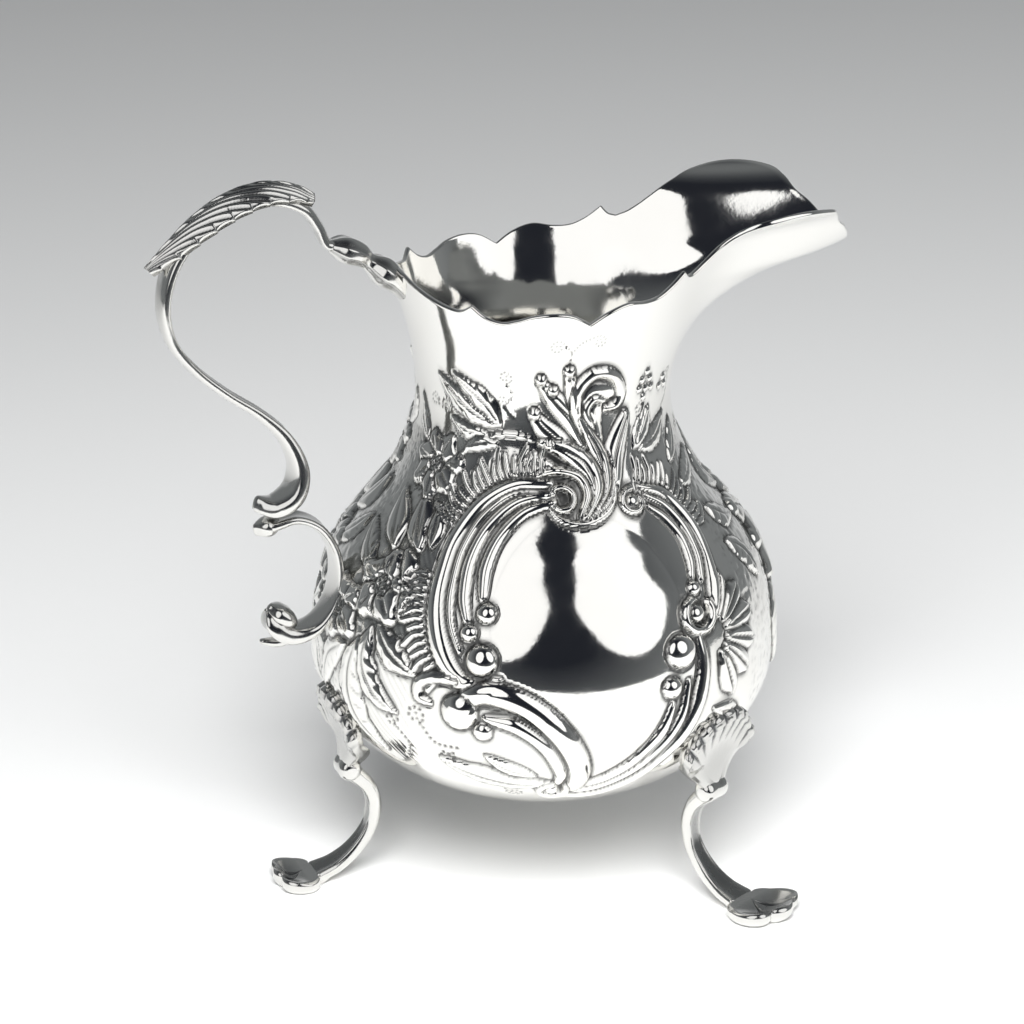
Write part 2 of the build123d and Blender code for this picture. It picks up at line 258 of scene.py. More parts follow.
def silver(name, polish, shade_and_tarnish_colour, grain, veil):
    """Solid silver: bright where it is polished, greyer with painted shade and duller in the recesses, under
    a thin veil that tarnishes it evenly. Polish is its least roughness, and grain the strength of its fine
    scratches."""
    material = bpy.data.materials.new(name)
    material.use_nodes = True
    tree = material.node_tree
    place = add_node(tree, "TexCoord", {}).outputs["Object"]
    # painted shade in the hollows, from the mesh attribute and mottled by a noise; the veil adds an even
    # tarnished grey in the same colour
    hollow = add_node(tree, "Attribute", {}, attribute_name="painted_shade").outputs["Fac"]
    cloud = add_node(tree, "TexNoise", {"Vector": place, "Scale": 90.0, "Detail": 6.0}).outputs["Fac"]
    shade_mottle = add_node(tree, "Math", {0: cloud, 1: 0.5, 2: 0.72}, operation="MULTIPLY_ADD").outputs[0]
    shade_and_tarnish = add_node(tree, "Math", {0: hollow, 1: shade_mottle, 2: veil}, operation="MULTIPLY_ADD",
                    use_clamp=True).outputs[0]
    clean = add_node(tree, "Mix", {"Factor": cloud, "A": (0.955, 0.95, 0.925, 1),
                                   "B": (0.90, 0.885, 0.845, 1)}, data_type="RGBA").outputs["Result"]
    colour = add_node(tree, "Mix", {"Factor": shade_and_tarnish, "A": clean, "B": shade_and_tarnish_colour},
                      data_type="RGBA").outputs["Result"]
    wiped = add_node(tree, "TexNoise", {"Vector": place, "Scale": 420.0, "Detail": 4.0}).outputs["Fac"]
    haze = ranged(tree, wiped, 0.3, 0.75, polish, polish + 0.05)
    rough = add_node(tree, "Math", {0: shade_and_tarnish, 1: 0.26, 2: haze}, operation="MULTIPLY_ADD").outputs[0]
    scratch = add_node(tree, "TexNoise", {"Vector": place, "Scale": 1500.0, "Detail": 3.0}).outputs["Fac"]
    bump = add_node(tree, "Bump", {"Strength": grain, "Distance": 0.00002,
                                   "Height": scratch}).outputs["Normal"]
    shader = tree.nodes["Principled BSDF"]
    shader.inputs["Metallic"].default_value = 1.0
    for socket, output in (("Base Color", colour), ("Roughness", rough), ("Normal", bump)):
        tree.links.new(output, shader.inputs[socket])
    return material


RAISED = silver("raised_silver", 0.05, (0.16, 0.16, 0.155, 1), 0.25, 0.015)
CAST = silver("cast_silver", 0.07, (0.13, 0.135, 0.14, 1), 0.4, 0.24)


# ---------------------------------------------------------------- the raised body

def sheet_radius(angle, z):
    """Outer radius of the raised sheet at angles in degrees from the spout."""
    off = (angle + 180.0) % 360.0 - 180.0
    below = BELLY_RADIUS * np.sqrt(np.clip(1 - ((BELLY_Z - z) / BELLY_DROP) ** 2, 0, 1))
    round_part = np.where(z < BELLY_Z, below, smooth(PROFILE, np.maximum(z, BELLY_Z)))
    high = np.maximum(z, SPLIT_Z)
    bulge = (1.0 + (off / smooth(SPREAD, high)) ** 2) ** -1.5
    return np.where(z > SPLIT_Z, round_part + (smooth(KEEL, high) - round_part) * bulge, round_part)


def rim_height(angle):
    """Height of the wavy rim."""
    off = np.abs((angle + 180.0) % 360.0 - 180.0)
    height = np.full(off.shape, RIM_ARCS[0][0][1], float)
    for arc in RIM_ARCS:
        here = (off >= arc[0][0]) & (off <= arc[-1][0])
        height[here] = smooth(arc, off[here])
    return height


def chart_height():
    """Table of height against distance up the belly, in a chart that keeps the shapes of what is drawn."""
    z = np.arange(BELLY_Z - BELLY_DROP + 0.1, 96.0, 0.05)
    radius = sheet_radius(np.full(z.shape, 180.0), z)
    along = np.hypot(np.diff(z), np.diff(radius)) / ((radius[1:] + radius[:-1]) / 2)
    up = np.r_[0, np.cumsum(along)] * BELLY_RADIUS
    return z, up - np.interp(BELLY_Z, z, up), radius


CHART_Z, CHART_UP, CHART_RADIUS = chart_height()
CARTOUCHE_ANGLE = 98.5   # degrees from the spout to the chart's zero, on each side
UNDERLAY = 0.15          # how much of the work below shows through a stroke laid over it
PANEL = (1.2, 16.0, 15.5, 18.5)      # middle and half sizes of the plain round panel, on the chart
PANEL_RISE = 0.55
CHASED_TOP = 83.0        # height up to which the rows of the mesh are close
CHASED_STEP = 0.30       # along the sheet, from one close row to the next
RIM_ROWS = 28            # rows from there up to the rim
HAND_WAVES = ((0.012, 9.0, 11), (0.035, 24.0, 12))   # height, length and seed of the sheet's unevenness
FAR_DRIFT = 0.5          # how far the far side's work strays from the near side's
FAR_WAVE = 22.0
RELIEF_TOP = 90.0        # height above which the sheet is plain


class Relief:
    """Height of the chased work over the plain sheet. Places are (towards the spout, up) on the chart."""

    def __init__(self, x, y):
        self.x, self.y = x, y
        self.height = np.zeros(len(x))

    def nearest(self, path, reach):
        """Points near a path: their numbers, distance, place along it 0 to 1, side, and the path's width."""
        low, high = path[:, :2].min(0) - reach, path[:, :2].max(0) + reach
        pick = np.flatnonzero((self.x > low[0]) & (self.x < high[0]) & (self.y > low[1]) & (self.y < high[1]))
        ax, ay = path[:-1, 0], path[:-1, 1]
        bx, by = np.diff(path[:, 0]), np.diff(path[:, 1])
        px, py = self.x[pick, None] - ax, self.y[pick, None] - ay
        t = np.clip((px * bx + py * by) / np.maximum(bx * bx + by * by, 1e-9), 0, 1)
        gap = (px - t * bx) ** 2 + (py - t * by) ** 2
        best = gap.argmin(axis=1)
        row = np.arange(len(pick))
        t = t[row, best]
        side = np.sign(bx[best] * py[row, best] - by[best] * px[row, best])
        width = path[best, 2] + (path[best + 1, 2] - path[best, 2]) * t
        return pick, np.sqrt(gap[row, best]), (best + t) / (len(path) - 1), side, width

    def lay(self, pick, inside, shape, outside, groove):
        """Raises what is inside an outline and cuts a fine line round it."""
        line = ~inside & (outside < 1)
        self.height[pick[line]] -= groove * (1 - outside[line]) ** 2
        below = np.clip(self.height[pick[inside]], -0.1, None)
        self.height[pick[inside]] = shape[inside] + UNDERLAY * below

    def ridge(self, points, width, height, groove=0.16, ends=(0.55, 0.55)):
        """Rounded ridge along a path, narrowing to a share of its width at each end."""
        path = path_through([(*point, 1.0) for point in points], 0.5)
        share = np.linspace(0, 1, len(path))
        path[:, 2] = width * (ends[0] + (1 - ends[0]) * np.clip(share * 5, 0, 1) ** 0.7)
        path[:, 2] *= ends[1] + (1 - ends[1]) * np.clip((1 - share) * 5, 0, 1) ** 0.7
        pick, gap, _, _, half = self.nearest(path, width + 0.6)
        q = gap / half
        self.lay(pick, q < 1, height * (half / width) * (1 - q**2) ** 0.8, (gap - half) / 0.55, groove)

    def bead(self, x, y, radius, height, groove=0.22):
        """Round boss."""
        pick = np.flatnonzero((np.abs(self.x - x) < radius + 0.7) & (np.abs(self.y - y) < radius + 0.7))
        gap = np.hypot(self.x[pick] - x, self.y[pick] - y)
        q = np.minimum(gap / radius, 1)
        self.lay(pick, gap < radius, height * (1 - q**2) ** 0.6, (gap - radius) / 0.6, groove)

    def volute(self, x, y, radius, height, start, turns, boss=0.0):
        """Curled end of a scroll: a ridge that winds round a deep eye, or round a boss."""
        self.dish(x, y, radius * 0.95, 0.45)
        if boss:
            self.bead(x, y, boss, height * 0.95, 0.1)
        self.ridge(spiral(x, y, radius, start, turns, 0.34, 14), radius * 0.27, height, ends=(0.8, 0.5))

    def dish(self, x, y, radius, depth):
        """Round hollow."""
        pick = np.flatnonzero(np.hypot(self.x - x, self.y - y) < radius)
        q = np.hypot(self.x[pick] - x, self.y[pick] - y) / radius
        self.height[pick] = np.minimum(self.height[pick], self.height[pick] * q - depth * (1 - q**2))

    def leaf(self, points, width, height, lobes=0, veins=0, full=0.45, hollow=0.35, tip=0.12):
        """Leaf along its midrib, widest at full of its length, with lobed edges and sloping side veins."""
        path = path_through([(*point, 1.0) for point in points], 0.5)
        share = np.linspace(0, 1, len(path))
        swell = np.where(share < full, share / full, (1 - share) / (1 - full))
        path[:, 2] = width * (tip + (1 - tip) * np.sin(np.clip(swell, 0, 1) * math.pi / 2) ** 0.9)
        pick, gap, along, side, half = self.nearest(path, width * 1.25 + 0.6)
        if lobes:
            half = half * (0.90 + 0.16 * np.abs(np.sin((along * lobes + 0.15 * side) * math.pi)))
        q = np.minimum(gap / half, 1)
        dome = (1 - q**2) ** 0.8 * (1 - hollow * np.exp(-((gap / (0.10 * width + 0.12)) ** 2)))
        if veins:
            phase = (along * veins - 0.9 * q) % 1.0 - 0.5
            dome = dome * (1 - 0.20 * np.clip(q * 2.5 - 0.3, 0, 1) * np.exp(-((phase / 0.15) ** 2)))
        self.lay(pick, gap < half, height * dome, (gap - half) / 0.5, 0.18)

    def ribs(self, edge, outward, length, width, height, step, lean=0.0):
        """Comb of short ribs that stand out from an edge, to its left (1) or right (-1)."""
        path = path_through(edge, step)
        for i, ((x, y), (dx, dy)) in enumerate(zip(path, np.gradient(path, axis=0))):
            size = math.hypot(dx, dy)
            nx, ny = -dy / size * outward, dx / size * outward
            reach = length * (0.86 + 0.2 * math.sin(2.4 * i + 0.7))
            bend = lean + 0.12 * math.sin(1.7 * i)
            middle = (x + nx * reach * 0.5, y + ny * reach * 0.5)
            end = (x + nx * reach + dx / size * reach * bend, y + ny * reach + dy / size * reach * bend)
            self.ridge([(x, y), middle, end], width, height, 0.12, (0.7, 0.9))

    def flower(self, x, y, radius, petals, height, turn=0.0, heart=0.3):
        """Open flower: rounded petals about a beaded heart."""
        for i in range(petals):
            angle = math.radians(turn) + 2 * math.pi * i / petals
            c, s = math.cos(angle), math.sin(angle)
            wide = radius * math.sin(math.pi / petals) * 1.05
            reach = radius * (0.94 + 0.1 * math.sin(3.1 * i + x))
            self.leaf([(x + c * radius * heart * 0.6, y + s * radius * heart * 0.6),
                       (x + c * reach * 0.7, y + s * reach * 0.7), (x + c * reach, y + s * reach)],
                      wide, height, full=0.66, hollow=0.3, tip=0.55)
        self.bead(x, y, radius * heart, height * 0.9, 0.3)
        for i in range(9):
            angle = 2 * math.pi * i / 9
            ring = radius * heart * 0.68
            self.bead(x + math.cos(angle) * ring, y + math.sin(angle) * ring, radius * heart * 0.24,
                      height * 0.45, 0.0)
        self.bead(x, y, radius * heart * 0.36, height * 0.4, 0.1)

    def dots(self, points):
        """Tendril pricked with a fine punch."""
        for x, y in path_through(points, 0.95):
            pick = np.flatnonzero((np.abs(self.x - x) < 0.5) & (np.abs(self.y - y) < 0.5))
            q = np.hypot(self.x[pick] - x, self.y[pick] - y) / 0.46
            self.height[pick] -= 0.15 * np.clip(1 - q**2, 0, 1)

    def curl(self, x, y, radius, start, hand=1):
        """Pricked spiral at the end of a tendril."""
        self.dots(spiral(x, y, radius, start, 1.3 * hand, 0.75, 10))


def draw_cartouche(work):
    """Scrolled frame round the plain round panel."""
    work.ribs([(-6.5, 43.4), (-14.5, 42.6), (-21.5, 37.6), (-25.4, 30.6)], -1, 6.4, 0.66, 0.5, 1.55, -0.15)
    work.ribs([(-26.2, 20.5), (-25.4, 14.0), (-23.6, 9.0), (-20.8, 5.6)], -1, 3.8, 0.5, 0.34, 1.25, 0.2)
    work.ribs([(16.8, 39.6), (23.0, 37.2), (27.4, 32.0), (28.6, 26.0)], 1, 5.6, 0.6, 0.4, 1.45, -0.2)
    # the C-scroll towards the handle
    work.ridge([(-4.4, 41.4), (-12.6, 41.0), (-19.8, 36.2), (-23.5, 28.4), (-23.8, 20.4), (-22.8, 13.6),
                (-21.0, 8.8), (-18.4, 5.6), (-15.4, 4.6), (-12.6, 5.8)], 1.75, 1.15, 0.3, (0.5, 0.45))
    work.ridge([(-4.6, 39.8), (-12.8, 38.8), (-18.8, 33.6), (-21.4, 26.4), (-21.4, 19.0), (-20.4, 13.4),
                (-18.6, 9.6)], 0.7, 0.55, 0.2)
    work.ridge([(-3.6, 39.0), (-11.8, 37.0), (-17.2, 31.4), (-19.3, 24.6), (-19.0, 18.0), (-17.8, 14.0)],
               1.15, 0.85, 0.25)
    work.ridge([(-3.4, 37.2), (-10.0, 34.8), (-14.4, 29.6), (-16.2, 23.4), (-15.9, 18.0)], 1.25, 0.85, 0.3)
    for bead in ((-15.1, 8.6, 2.35, 1.5), (-17.3, 12.4, 1.35, 1.0), (-14.9, 15.6, 1.6, 1.1)):
        work.bead(*bead)
    # the C-scroll towards the spout
    work.ridge([(17.4, 38.0), (23.2, 35.2), (26.2, 30.2), (26.7, 24.6), (25.0, 18.4), (22.8, 13.2),
                (20.6, 10.0)], 1.4, 1.05, 0.3, (0.4, 0.6))
    work.ridge([(18.4, 35.8), (22.4, 32.4), (24.3, 27.6), (24.0, 22.0), (22.2, 17.2)], 0.95, 0.8, 0.22)
    work.ridge([(18.0, 33.4), (20.9, 29.8), (22.4, 25.2), (21.7, 20.6), (20.4, 18.0)], 0.95, 0.75, 0.25)
    work.volute(14.6, 35.2, 3.0, 1.1, 80, 0.85, 1.7)
    work.bead(19.9, 16.4, 1.2, 0.9)
    work.volute(18.8, 12.6, 3.0, 1.15, 20, -0.85, 1.5)
    # the lower scrolls
    work.ridge([(18.4, 9.0), (18.6, 4.6), (17.2, -0.4), (14.6, -5.4), (11.0, -10.0), (6.0, -14.6),
                (0.2, -17.4), (-4.0, -17.2)], 1.35, 1.05, 0.3, (0.5, 0.5))
    work.ridge([(15.8, 3.4), (14.4, -1.6), (11.6, -6.2), (7.6, -10.8), (2.4, -14.6), (-2.4, -16.0)],
               0.85, 0.7, 0.22)
    work.ridge([(13.0, 0.6), (11.2, -3.6), (8.0, -7.8), (4.0, -11.4), (-0.6, -14.0)], 0.95, 0.65, 0.25)
    work.bead(14.8, 7.9, 2.55, 1.6)
    work.bead(12.9, 2.9, 1.6, 1.15)
    work.ridge([(-18.0, 2.2), (-14.4, 3.9), (-9.0, 2.6), (-4.4, -1.2), (-1.4, -6.6), (-0.8, -12.2),
                (-2.6, -15.4)], 1.9, 1.25, 0.32, (0.75, 0.5))
    work.ridge([(-14.2, 0.2), (-9.8, -0.8), (-5.8, -4.2), (-3.6, -9.4), (-4.0, -12.6)], 1.15, 0.85, 0.28)
    work.bead(-18.2, 0.8, 2.7, 1.3)
    work.bead(-14.8, -1.9, 1.4, 0.9)
    work.volute(-5.0, -14.6, 2.6, 1.0, 20, -0.85, 1.2)
    work.ridge([(-18.6, 5.2), (-21.6, 5.4), (-24.4, 4.2), (-24.6, 2.0), (-22.8, 1.4)], 0.95, 0.6)


def draw_plume(work):
    """Acanthus spray over the cartouche: broad lobes that rise from a scroll and curl over at the top."""
    # back row of leaves, and the knobs they end in
    work.leaf([(3.4, 44.0), (-1.2, 50.8), (-6.0, 55.6), (-8.2, 58.8)], 2.7, 0.75, full=0.6, tip=0.5)
    work.bead(-8.2, 59.0, 1.6, 0.9)
    work.leaf([(4.6, 50.0), (1.6, 57.0), (-2.8, 62.6), (-6.2, 67.4)], 2.9, 0.95, full=0.45, tip=0.45)
    work.bead(-6.4, 68.4, 1.5, 1.0)
    work.bead(-3.4, 65.4, 1.5, 0.95)
    work.leaf([(6.2, 50.0), (4.4, 58.0), (2.0, 64.4), (0.6, 69.2)], 3.0, 1.05, full=0.45, tip=0.45)
    work.bead(0.6, 70.6, 1.6, 1.05)
    # the large lobe that curls over towards the spout
    work.leaf([(7.4, 49.6), (5.8, 57.0), (7.4, 63.4), (12.4, 64.0)], 3.8, 0.7, full=0.6, hollow=0.0, tip=0.6)
    work.ridge([(4.4, 53.6), (2.4, 60.0), (3.2, 65.6), (6.9, 69.2), (11.6, 68.2), (14.8, 63.4), (13.6, 59.8),
                (10.8, 59.2)], 1.8, 1.3, 0.35, (0.6, 0.55))
    work.ridge([(6.8, 54.0), (5.0, 59.2), (7.2, 62.4), (10.0, 61.2)], 1.2, 1.0, 0.3)
    # the leaf that folds over the frame towards the handle
    work.leaf([(-3.4, 44.8), (-8.0, 45.6), (-13.0, 43.6)], 2.9, 0.95, full=0.55, hollow=0.0, tip=0.4)
    # long lobes
    work.leaf([(4.8, 33.6), (9.8, 39.4), (12.0, 46.0), (14.4, 51.6), (16.4, 56.4)], 3.1, 1.4, full=0.62,
              hollow=0.3, tip=0.5)
    work.leaf([(3.6, 33.0), (8.0, 40.0), (8.2, 46.6), (6.0, 52.2), (3.4, 57.4)], 2.5, 1.35, full=0.45,
              hollow=0.3, tip=0.3)
    work.leaf([(2.6, 33.2), (5.8, 39.8), (4.0, 45.6), (-1.0, 49.6), (-6.4, 51.6)], 3.0, 1.45, full=0.5,
              hollow=0.25, tip=0.35)
    work.bead(-4.6, 50.8, 1.2, 1.15, 0.1)
    work.ridge([(1.8, 33.4), (4.0, 38.4), (2.2, 42.8), (-2.8, 44.4), (-8.0, 43.4)], 1.15, 1.2, 0.3,
               (0.5, 0.5))
    work.ridge([(-4.8, 35.8), (-2.4, 33.2), (2.0, 31.9), (6.2, 32.8), (9.6, 35.4), (11.2, 39.4)],
               0.75, 0.8, 0.3)
    work.volute(-1.8, 37.6, 3.2, 1.35, 170, -0.95)


def draw_sprays(work):
    """Flowers, leaves and buds round the cartouche."""
    work.leaf([(-17.0, 55.4), (-23.0, 57.6), (-29.6, 61.4), (-35.8, 66.4)], 3.4, 0.7, 4, 6)
    work.leaf([(-16.8, 55.8), (-20.6, 60.8), (-25.4, 64.4), (-30.2, 67.8)], 3.0, 0.75, 3, 5)
    work.leaf([(-19.8, 52.4), (-26.4, 53.0), (-31.6, 55.4)], 2.2, 0.55, 0, 4)
    work.ridge([(-8.0, 52.2), (-14.6, 53.4), (-21.8, 51.4), (-28.0, 46.2)], 0.6, 0.4)
    work.leaf([(-26.6, 48.0), (-22.4, 50.4), (-17.4, 50.6)], 2.1, 0.6, 0, 4)
    work.leaf([(-40.0, 47.4), (-43.4, 52.4), (-44.6, 58.6)], 2.5, 0.6, 3, 5)
    work.leaf([(-34.4, 34.6), (-33.0, 29.6), (-30.4, 24.6)], 3.3, 0.95, full=0.6, hollow=0.25, tip=0.3)
    work.leaf([(-42.0, 33.6), (-39.6, 28.6), (-36.4, 23.6)], 3.2, 0.9, full=0.6, hollow=0.25, tip=0.3)
    work.leaf([(-29.6, 34.2), (-28.6, 29.6), (-27.8, 25.0)], 2.1, 0.8, full=0.6, hollow=0.25)
    work.leaf([(-38.6, 17.4), (-43.0, 21.4), (-46.4, 26.2)], 2.2, 0.6, 0, 5)
    work.leaf([(-33.0, 10.6), (-30.0, 7.4), (-25.4, 5.0)], 2.4, 0.7, 3, 5)
    work.leaf([(-34.4, 9.8), (-35.2, 4.6), (-32.6, 0.6), (-28.6, -1.4)], 2.5, 0.75, 3, 6)
    work.leaf([(-36.8, 7.4), (-38.6, 1.4), (-37.4, -4.4), (-33.0, -9.6)], 3.0, 0.7, 4, 7)
    work.leaf([(-40.4, 5.6), (-45.0, 2.4), (-47.0, -2.8)], 2.4, 0.6, 0, 5)
    work.leaf([(-5.4, -12.2), (-10.4, -12.4), (-16.0, -10.8), (-22.0, -7.8)], 2.7, 0.8, 4, 7)
    work.leaf([(-7.4, -10.2), (-11.4, -8.6), (-14.8, -6.0)], 1.5, 0.6, 0, 4)
    work.flower(-34.4, 42.6, 7.4, 7, 0.85, 12, 0.34)
    work.flower(-34.4, 16.4, 5.2, 5, 0.95, 18, 0.36)
    work.flower(-43.4, 10.4, 4.4, 5, 0.8, 40, 0.34)
    for bud in ([(-32.2, 23.0), (-30.8, 20.8), (-29.8, 18.2)], [(-29.6, 17.6), (-28.6, 15.4), (-28.8, 12.8)]):
        work.leaf(bud, 1.8, 0.9, full=0.5, hollow=0.0, tip=0.5)
    # towards the spout
    work.leaf([(18.4, 47.4), (22.4, 51.0), (25.4, 56.4)], 3.2, 0.65, 2, 5)
    work.leaf([(20.4, 46.2), (27.0, 48.4), (32.6, 53.2)], 2.7, 0.6, 3, 6)
    work.ridge([(19.6, 49.0), (23.4, 56.8), (23.8, 64.0)], 0.4, 0.3)
    for x, y in ((24.0, 66.4), (22.4, 64.4), (25.4, 64.2), (21.6, 62.0), (24.2, 61.8), (26.4, 61.6),
                 (23.2, 59.6), (30.6, 60.6), (32.2, 62.6), (33.6, 60.4)):
        work.bead(x, y, 1.0, 0.45, 0.1)
    work.leaf([(30.6, 40.4), (34.6, 44.6), (36.4, 50.4)], 2.4, 0.6, 3, 5)
    work.leaf([(31.4, 34.4), (37.2, 36.4), (42.8, 40.6)], 2.6, 0.65, 3, 6)
    for i in range(6):
        angle = math.radians(62 - 27 * i)
        c, s = math.cos(angle), math.sin(angle)
        work.leaf([(21.6 + c * out, 8.6 + s * out) for out in (3.0, 6.4, 9.6)], 1.9, 0.85,
                  full=0.75, hollow=0.55, tip=0.3)
    work.leaf([(20.8, -2.2), (25.0, -4.8), (28.0, -9.0)], 2.0, 0.55, 0, 5)
    work.leaf([(34.6, 27.6), (38.6, 24.2), (43.0, 22.8)], 2.5, 0.8, 3, 5)
    work.leaf([(33.6, 20.6), (36.8, 17.2), (38.4, 12.4)], 2.3, 0.7, 2, 5)
    # the large flower under the spout, half of it on each side
    work.flower(57.3, 17.0, 11.5, 10, 1.25, 9, 0.36)
    work.leaf([(50.6, 26.4), (46.6, 31.6), (46.4, 38.4)], 2.8, 0.8, 3, 6)
    work.leaf([(55.2, 29.4), (54.6, 36.4), (55.8, 43.6)], 2.6, 0.8, 3, 6)
    work.leaf([(49.4, 8.4), (45.4, 3.4), (44.4, -3.4)], 2.6, 0.7, 3, 6)


def draw_tendrils(work):
    """Fine pricked curls that run out over the plain metal."""
    work.dots([(-13.4, 58.2), (-15.6, 61.0), (-13.6, 64.0), (-15.0, 67.0)])
    work.curl(-15.4, 68.6, 1.9, -80)
    work.curl(-16.2, 62.2, 1.5, 0, -1)
    work.dots([(0.4, 72.0), (1.0, 75.6), (-0.4, 77.4)])
    work.curl(-2.4, 77.2, 2.0, 10)
    work.dots([(1.0, 75.6), (3.6, 78.4), (6.8, 79.6)])
    work.curl(7.6, 78.0, 1.6, 90, -1)
    work.curl(-38.4, 58.6, 2.0, -30)
    work.curl(-33.4, 58.0, 1.7, 200, -1)
    work.dots([(-38.6, 36.0), (-40.6, 33.4)])
    work.curl(-38.4, 36.6, 1.8, 120)
    work.dots([(-24.6, -2.0), (-22.4, -5.0), (-19.0, -5.4)])
    work.curl(-25.4, -1.0, 1.6, -60)
    work.curl(-21.0, -7.2, 1.3, 30, -1)
    work.dots([(-13.4, -14.0), (-12.8, -16.6)])
    work.curl(-11.4, -17.2, 1.6, 180)
    work.dots([(-29.4, -3.4), (-27.4, -6.6), (-28.6, -9.4)])
    work.curl(-29.4, -2.4, 1.4, -90, -1)
    work.curl(21.6, 56.6, 2.0, 250)
    work.dots([(32.0, 54.0), (35.4, 57.6), (36.6, 61.8)])
    work.curl(34.8, 62.6, 1.8, 0)
    work.curl(43.0, 47.4, 2.0, 200)


def matted_ground(work):
    """Ground punched all over under the spout and beside the handle, finely cut beside the flowers."""
    x, y, plain = work.x, work.y, np.abs(work.height) < 0.05
    within = np.clip((y + 12.0) / 3.0, 0, 1) * np.clip((52.0 - y) / 4.0, 0, 1)
    front = np.clip((x - 29.5) / 2.0, 0, 1)
    back = np.clip((-33.5 - x) / 2.0, 0, 1)
    punched = dappled(x, y, 0.9, 5) * 0.11 + dappled(x, y, 0.55, 6) * 0.04
    work.height -= np.where(plain, (front + back) * within * punched, 0.0)
    beside = np.clip((-25.5 - x) / 1.5, 0, 1) * (1 - back) * within
    cuts = 0.5 + 0.5 * np.sin(x * 5.2 + y * 3.4 + 3 * dappled(x, y, 4.0, 7))
    work.height -= np.where(plain, beside * 0.05 * cuts, 0.0)


def chased(x, y):
    """Relief of one side of the jug."""
    work = Relief(x, y)
    draw_sprays(work)
    draw_plume(work)
    draw_cartouche(work)
    matted_ground(work)
    draw_tendrils(work)
    # the round panel stands a little proud of its frame
    middle_x, middle_y, half_x, half_y = PANEL
    q = np.clip(1 - ((x - middle_x) / half_x) ** 2 - ((y - middle_y) / half_y) ** 2, 0, 1)
    panel = PANEL_RISE * q * (np.abs(work.height) < 0.02)
    return np.clip(work.height, -0.45, None) + panel


def body_angles():
    """Columns of the body mesh, closer on the near side, with one at every cusp of the rim."""
    stops = [arc[0][0] for arc in RIM_ARCS] + [180]
    angles = []
    for side, step in ((NEAR, 0.40), (FAR, 0.56)):
        half = []
        for a, b in zip(stops, stops[1:]):
            half += list(np.linspace(a, b, math.ceil((b - a) / step), endpoint=False))
        half = [side * a for a in half]
        angles += half[::-1] if side == NEAR else half[1:] + [180.0]
    return np.array(angles)


def body_levels(angles):
    """Heights of the outer rows: closer where the work is chased, then up to the rim along each column."""
    foot = BELLY_Z - BELLY_DROP
    bowl = foot + BELLY_DROP * (1 - np.cos(np.linspace(0.03, 0.5, 16) * math.pi / 2))
    start = bowl[-1]
    step = 0.02
    fine = np.arange(start, CHASED_TOP, step)
    radius = np.interp(fine, CHART_Z, CHART_RADIUS)
    along = np.r_[0, np.cumsum(np.hypot(np.diff(radius), step))]
    chased_rows = np.interp(np.arange(0, along[-1], CHASED_STEP), along, fine)
    levels = np.repeat(np.r_[bowl, chased_rows[1:]][:, None], len(angles), axis=1)
    fine = levels[-1] + (rim_height(angles) - levels[-1]) * np.linspace(0, 1, 40)[:, None]
    reach = sheet_radius(np.broadcast_to(angles, fine.shape), fine)
    steps = np.hypot(np.diff(fine, axis=0), np.diff(reach, axis=0))
    along = np.cumsum(np.vstack([np.zeros(len(angles)), steps]), axis=0)
    even = np.linspace(0, 1, RIM_ROWS)[1:]
    upper = [np.interp(even * along[-1, k], along[:, k], fine[:, k]) for k in range(len(angles))]
    return np.vstack([levels, np.stack(upper, axis=1)])


def surface_normals(grid):
    """Outward normals of a closed-round grid of points, rows going up."""
    up = np.gradient(grid, axis=0)
    round_ = (np.roll(grid, -1, axis=1) - np.roll(grid, 1, axis=1)) / 2
    normal = np.cross(round_, up)
    return normal / np.linalg.norm(normal, axis=2, keepdims=True)


def spread_out(field, reach):
    """Field averaged over a few rows and columns round each point."""
    total = np.zeros_like(field)
    for shift in range(-reach, reach + 1):
        total += np.roll(field, shift, axis=1)
    again = np.zeros_like(field)
    padded = np.pad(total, ((reach, reach), (0, 0)), mode="edge")
    for shift in range(2 * reach + 1):
        again += padded[shift:shift + field.shape[0]]
    return again / (2 * reach + 1) ** 2


